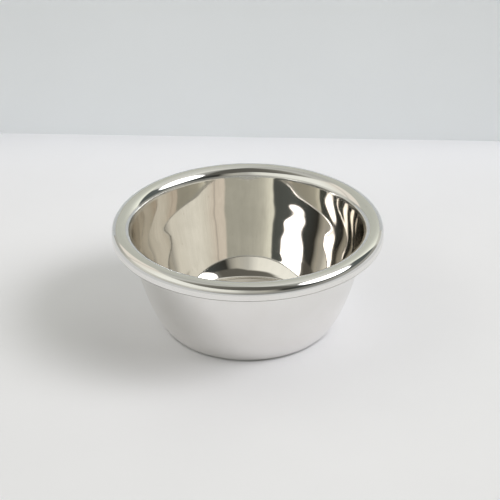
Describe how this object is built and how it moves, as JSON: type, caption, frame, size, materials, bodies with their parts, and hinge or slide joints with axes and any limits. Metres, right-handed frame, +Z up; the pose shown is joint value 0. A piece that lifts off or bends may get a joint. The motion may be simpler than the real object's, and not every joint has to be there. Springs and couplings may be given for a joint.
{
  "type": "prep bowl",
  "caption": "Shallow round stainless steel prep bowl with a flat base, curved flaring wall and thick polished turned-down rim.",
  "frame": {"origin": "centre of the flat base, in the plane the bowl stands on", "axes": "+Z up along the bowl's axis of turning; the bowl is round, so +X and +Y are free"},
  "size_m": [0.15, 0.15, 0.0623],
  "materials": {
    "satin_steel": "fine satin outside, bright polish inside",
    "polished_steel": "mirror polish"
  },
  "bodies": {
    "root": {"base": "satin_steel", "belly": "satin_steel", "upper_wall": "satin_steel", "rolled_rim": "polished_steel"}
  },
  "joints": []
}
